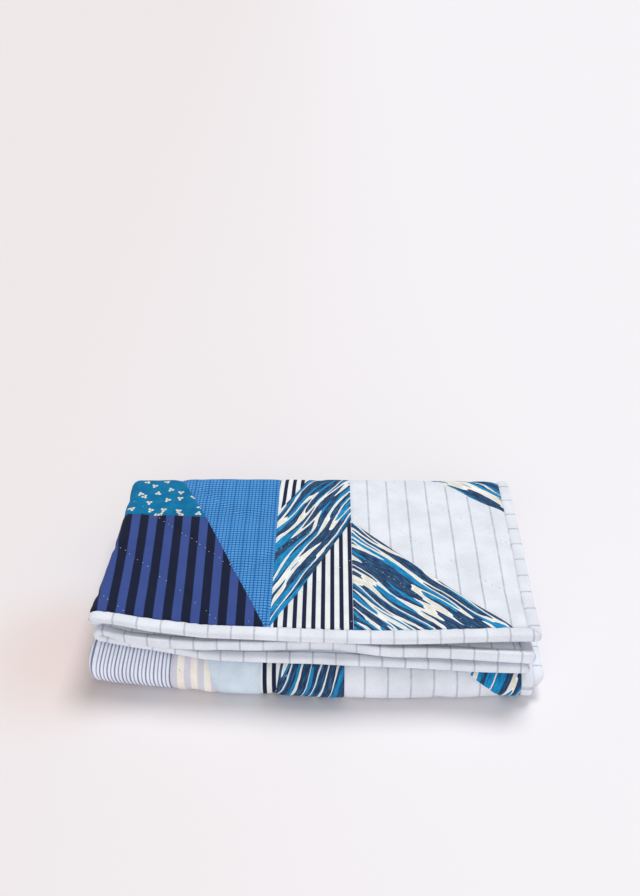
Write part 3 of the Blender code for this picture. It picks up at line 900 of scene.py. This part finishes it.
class Paint:
    """Short names for the nodes of one material."""

    def __init__(self, name):
        self.material = bpy.data.materials.new(name)
        self.material.use_nodes = True
        self.tree = self.material.node_tree
        self.shader = self.tree.nodes["Principled BSDF"]

    def set(self, socket, value):
        if isinstance(value, bpy.types.NodeSocket):
            self.tree.links.new(value, socket)
        elif isinstance(value, tuple) and len(value) == 3 and socket.type == "RGBA":
            socket.default_value = (*value, 1.0)
        else:
            socket.default_value = value

    def node(self, kind, inputs=(), **settings):
        """A new node with these settings, and with its inputs filled in by number or name."""
        node = self.tree.nodes.new("ShaderNode" + kind)
        for name, value in settings.items():
            setattr(node, name, value)
        for place, value in dict(inputs).items():
            self.set(node.inputs[place], value)
        return node

    def math(self, operation, *values):
        return self.node("Math", enumerate(values), operation=operation).outputs[0]

    def vector(self, operation, *values):
        return self.node("VectorMath", enumerate(values), operation=operation).outputs

    def split(self, at):
        return self.node("SeparateXYZ", {0: at}).outputs

    def point(self, x, y):
        return self.node("CombineXYZ", {0: x, 1: y}).outputs[0]

    def mix(self, share, first, second):
        return self.node("Mix", {0: share, 6: first, 7: second}, data_type="RGBA").outputs[2]

    def noise(self, at, scale, detail=2.0, rough=0.5):
        inputs = {"Vector": at, "Scale": scale, "Detail": detail, "Roughness": rough}
        return self.node("TexNoise", inputs).outputs["Fac"]

    def ease(self, value, low, high, to_low=0.0, to_high=1.0):
        inputs = enumerate((value, low, high, to_low, to_high))
        return self.node("MapRange", inputs, interpolation_type="SMOOTHSTEP").outputs[0]

    def times(self, value, factor):
        return self.math("MULTIPLY", value, factor)

    def drawn_out(self, x, y, x_rate, y_rate, detail=1.0, rough=0.5, shift=0.0):
        """Noise that changes x_rate times a metre along x and y_rate times along y."""
        x_place = self.times(x, x_rate)
        if shift:
            x_place = self.math("ADD", x_place, shift)
        return self.noise(self.point(x_place, self.times(y, y_rate)), 1.0, detail, rough)

    def cloudy(self, at, scale):
        return self.ease(self.noise(at, scale, 2.0), 0.3, 0.7)

    def cloth(self):
        """The fabric's own place, x and y, in metres."""
        at = self.node("UVMap", uv_map="cloth").outputs[0]
        x, y, _ = self.split(at)
        return at, x, y

    def place(self):
        return self.node("NewGeometry").outputs["Position"]

    def surface(self, colour, **values):
        """Fill in the shader's colour, and its other inputs by their names with _ for each space."""
        self.set(self.shader.inputs["Base Color"], colour)
        for name, value in values.items():
            self.set(self.shader.inputs[name.replace("_", " ")], value)
        return self.material

    def stripe(self, x, name):
        """1 in the bands that the table STRIPES names, with softened edges."""
        period, share, soft = STRIPES[name]
        wave = self.math("PINGPONG", x, period / 2)
        edge = share * period / 2
        return self.ease(wave, edge + soft, edge - soft)

    def finish(self, colour, at, x, y):
        """The cotton's surface: blotches and fine threads in its colour, a woven bump, and a little sheen."""
        blotch = self.ease(self.noise(at, 34.0, 3.0), 0.3, 0.7, 0.93, 1.04)
        long_rate, short_rate = THREAD_RATES
        thread = self.ease(self.drawn_out(x, y, long_rate, short_rate), *THREAD_TONES)
        slub = self.ease(self.drawn_out(x, y, short_rate, long_rate), *THREAD_TONES)
        shade = self.times(self.times(blotch, thread), slub)
        toned = self.node("VectorMath", {0: colour, "Scale": shade}, operation="SCALE").outputs[0]
        waves = [self.math("SINE", self.times(value, WEAVE_RATE)) for value in (x, y)]
        height = self.math("ADD", self.times(self.times(*waves), WEAVE_SHARE), self.noise(at, 420.0, 2.0))
        bump = self.node("Bump", {"Strength": BUMP_STRENGTH, "Distance": BUMP_HEIGHT, "Height": height})
        return self.surface(toned, Normal=bump.outputs[0], Roughness=COTTON_ROUGHNESS,
                            Sheen_Weight=COTTON_SHEEN, Sheen_Roughness=COTTON_SHEEN_ROUGHNESS,
                            Specular_IOR_Level=COTTON_SPECULAR)


def windowpane(paint, x, y, at):
    broken = paint.ease(paint.noise(at, 90.0, 2.0), 0.25, 0.6, 0.6, 1.0)
    lines = paint.times(paint.stripe(x, "windowpane"), broken)
    return paint.mix(lines, linear("e7ebf3"), linear("bcc0cc"))


def navy_stripe(paint, x, y, at):
    return paint.mix(paint.stripe(x, "navy"), linear("edf1ef"), linear("1d2545"))


def dark_stripe(paint, x, y, at):
    return paint.mix(paint.stripe(x, "dark"), linear("3c5091"), linear("181e36"))


def pinstripe(paint, x, y, at):
    light = paint.mix(paint.stripe(x, "pin"), linear("f0f5ff"), linear("7f88ab"))
    between = paint.stripe(paint.math("ADD", x, STRIPES["pin"][0] / 2), "pin between")
    return paint.mix(between, light, linear("99a2bd"))


def pastel(paint, x, y, at):
    base = paint.mix(paint.stripe(x, "pastel pair"), linear("fbf9ec"), linear("fdf4ec"))
    return paint.mix(paint.stripe(x, "pastel"), base, linear("dcdbe8"))


def plain_blue(paint, x, y, at):
    return paint.mix(paint.cloudy(at, 60.0), linear("d2e1ee"), linear("dbe9f4"))


def check(paint, x, y, at):
    line = linear("1a5698")
    base = paint.mix(paint.stripe(x, "check wide"), linear("59a4e4"), linear("4b95d8"))
    one = paint.mix(paint.times(paint.stripe(x, "check along"), 0.85), base, line)
    return paint.mix(paint.times(paint.stripe(y, "check across"), 0.95), one, line)


def flowers(paint, x, y, at):
    """Small three-petalled flowers, each turned its own way, scattered on a teal ground."""
    inputs = {"Scale": 61.0, "Randomness": 0.8, "Vector": at}
    cells = paint.node("TexVoronoi", inputs, voronoi_dimensions="2D")
    away = paint.vector("SUBTRACT", at, cells.outputs["Position"])[0]
    across_flower, along_flower, _ = paint.split(away)
    turn = paint.node("SeparateColor", {0: cells.outputs["Color"]}).outputs[0]
    petals = 3.0
    angle = paint.times(paint.math("ARCTAN2", along_flower, across_flower), petals)
    petal = paint.math("COSINE", paint.math("ADD", angle, paint.times(turn, 6.28)))
    flower_size = 0.0020
    petal_length = 0.0011
    raggedness = 0.0016
    uneven = paint.times(paint.noise(at, 400.0, 1.0), raggedness)
    radius = paint.math("ADD", uneven, paint.math("ADD", flower_size, paint.times(petal, petal_length)))
    far = paint.vector("LENGTH", away)["Value"]
    bloom = paint.ease(paint.math("SUBTRACT", radius, far), 0.0, 0.0003)
    heart = paint.ease(far, 0.0013, 0.0006)
    ground = paint.mix(paint.cloudy(at, 70.0), linear("076c9c"), linear("0f7dac"))
    return paint.mix(heart, paint.mix(bloom, ground, linear("e9e4d6")), linear("ab9c9c"))


# The brush strokes, from low to high noise: where each next colour starts. An edge is pale.
BRUSH_COLUMNS = ("from_noise", "to_noise", "colour")
BRUSH_STEPS = (
    (0.455, 0.460, "edge"),
    (0.474, 0.480, "cream"),
    (0.524, 0.529, "edge"),
    (0.541, 0.546, "high"),
)


def brush(paint, x, y, at):
    """Generic brush strokes: long tapering bands of cream, slate and two blues with pale edges."""
    sway = paint.noise(at, 14.0, 0.0)
    ragged = paint.noise(at, 120.0, 2.0)
    bent = paint.math("ADD", y, paint.times(paint.math("SUBTRACT", sway, 0.5), 0.012))
    rough = paint.math("ADD", bent, paint.times(paint.math("SUBTRACT", ragged, 0.5), 0.0011))
    bands = paint.drawn_out(x, rough, 8.0, 112.0, 1.0, 0.3)
    choice = paint.drawn_out(x, rough, 7.0, 125.0, 0.0, shift=4.0)
    streaks = paint.drawn_out(x, rough, 90.0, 700.0, 2.0)
    blue = paint.mix(paint.ease(streaks, 0.35, 0.66), linear("1574ab"), linear("259ad2"))
    slate = paint.mix(paint.ease(streaks, 0.40, 0.68), linear("27395a"), linear("39668c"))
    colours = {
        "edge": linear("f6f9fa"),
        "cream": paint.mix(paint.ease(ragged, 0.35, 0.7), linear("edeae0"), linear("e8e3d3")),
        "high": paint.mix(paint.ease(choice, 0.45, 0.455), blue, slate),
    }
    strokes = paint.mix(paint.ease(choice, 0.52, 0.525), slate, blue)
    for low, high, colour in BRUSH_STEPS:
        strokes = paint.mix(paint.ease(bands, low, high), strokes, colours[colour])
    return strokes


def backing(paint, x, y, at):
    return paint.mix(paint.cloudy(at, 50.0), linear("dfe2ec"), linear("e8eaf2"))


# In the order of FABRICS
FABRIC_MAKERS = (windowpane, brush, navy_stripe, check, flowers, dark_stripe, pinstripe, pastel, plain_blue,
                 backing)


def make_fabrics():
    """One material for each fabric, in the order of FABRICS."""
    materials = []
    for name, maker in zip(FABRICS, FABRIC_MAKERS):
        paint = Paint(name)
        at, x, y = paint.cloth()
        materials.append(paint.finish(maker(paint, x, y, at), at, x, y))
    return materials


def make_thread():
    paint = Paint("thread")
    colour = linear("cdd5e4")
    darker = tuple(0.9 * value for value in colour)
    return paint.surface(paint.mix(paint.cloudy(paint.place(), 300.0), darker, colour), Roughness=0.8)


def make_camera():
    data = bpy.data.cameras.new("camera")
    data.sensor_fit = "VERTICAL"
    data.sensor_height = SENSOR_MM
    data.lens = SENSOR_MM * FOCAL_PX / IMAGE_SIZE[1]
    camera = bpy.data.objects.new("camera", data)
    bpy.context.scene.collection.objects.link(camera)
    edge = fold(STACK_WIDTH / 2, 0.0, 0.0)[0] + SHIFT
    top = edge[2] + HALF_CLOTH
    camera.location = (CAMERA_RIGHT, edge[1] - CAMERA_BEFORE_FRONT_EDGE, top + CAMERA_ABOVE_FRONT_EDGE)
    camera.rotation_euler = (math.radians(90 - CAMERA_PITCH), 0.0, math.radians(CAMERA_YAW))
    bpy.context.scene.camera = camera


# The stage: soft far lights with their angles in degrees, the sky, and the floor, whose colour holds painted
# shade towards the left and a painted shadow beside the quilt's left front
SUN_COLUMNS = ("name", "toward", "strength", "angle")
SUNS = (
    ("back_sun", (-0.25, -0.40, -1.0), 1.71, 26.0),
    ("front_sun", (0.05, 1.0, -0.35), 1.20, 70.0),
)
SKY_COLOUR = "f5f4f6"
SKY_STRENGTH = 0.44
FLOOR_REACH = 15.0
# painted shade: the floor's colour is darker and warmer towards its left end
SHADED_FLOOR_LEFT = (-0.50, "ece6e6")
FLOOR_RIGHT = (0.35, "f3f1f4")
# painted shadow: centre, colour and reach of a darker, warm patch of floor beside the quilt's left front
PAINTED_SHADOW_PLACE = (-0.255, -0.080, 0.0)
PAINTED_SHADOW_COLOUR = "e8d9d4"
PAINTED_SHADOW_REACH = (0.130, 0.020)


def make_sun(name, toward, strength, angle):
    """A far light that shines along toward, soft-edged by its angle in degrees."""
    data = bpy.data.lights.new(name, "SUN")
    data.energy = strength
    data.angle = math.radians(angle)
    light = bpy.data.objects.new(name, data)
    light.rotation_euler = Vector(toward).to_track_quat("-Z", "Y").to_euler()
    bpy.context.scene.collection.objects.link(light)


def make_floor_paint():
    """White, with painted shade a little darker and warmer towards the left, and a darker, warm painted
    shadow beside the quilt's left front.
    """
    paint = Paint("floor_paint")
    place = paint.place()
    # painted shade: the floor colour darkens and warms towards the left
    to_right = paint.ease(paint.split(place)[0], SHADED_FLOOR_LEFT[0], FLOOR_RIGHT[0])
    plain = paint.mix(to_right, linear(SHADED_FLOOR_LEFT[1]), linear(FLOOR_RIGHT[1]))
    # painted shadow: the floor turns to the shadow colour near the quilt's left front
    away = paint.vector("DISTANCE", place, PAINTED_SHADOW_PLACE)["Value"]
    colour = paint.mix(paint.ease(away, *PAINTED_SHADOW_REACH), plain, linear(PAINTED_SHADOW_COLOUR))
    return paint.surface(colour, Roughness=1.0, Specular_IOR_Level=0.0)


def make_stage():
    """A white floor with painted shade and a painted shadow, a pale sky and two soft far lights."""
    mesh = bpy.data.meshes.new("floor")
    far = FLOOR_REACH
    mesh.from_pydata([(-far, -far, 0), (far, -far, 0), (far, far, 0), (-far, far, 0)], [], [(0, 1, 2, 3)])
    floor = bpy.data.objects.new("floor", mesh)
    bpy.context.scene.collection.objects.link(floor)
    mesh.materials.append(make_floor_paint())
    world = bpy.data.worlds.new("sky")
    world.use_nodes = True
    world.node_tree.nodes["Background"].inputs[0].default_value = (*linear(SKY_COLOUR), 1.0)
    world.node_tree.nodes["Background"].inputs[1].default_value = SKY_STRENGTH
    bpy.context.scene.world = world
    for row in SUNS:
        make_sun(*row)


def main():
    bpy.context.scene.view_settings.view_transform = "Standard"
    make_camera()
    make_stage()
    materials = make_fabrics()
    edge_cloth = materials[FABRICS.index("windowpane")]
    quilt = make_quilt(materials)
    stitches = make_stitches(make_thread())
    strips = {row[0]: make_binding(*row, edge_cloth) for row in BINDINGS}
    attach(quilt, "root")
    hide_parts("quilt")
    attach(stitches, "root")
    for node, strip in strips.items():
        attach(strip, "root")
        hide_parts(node)


main()
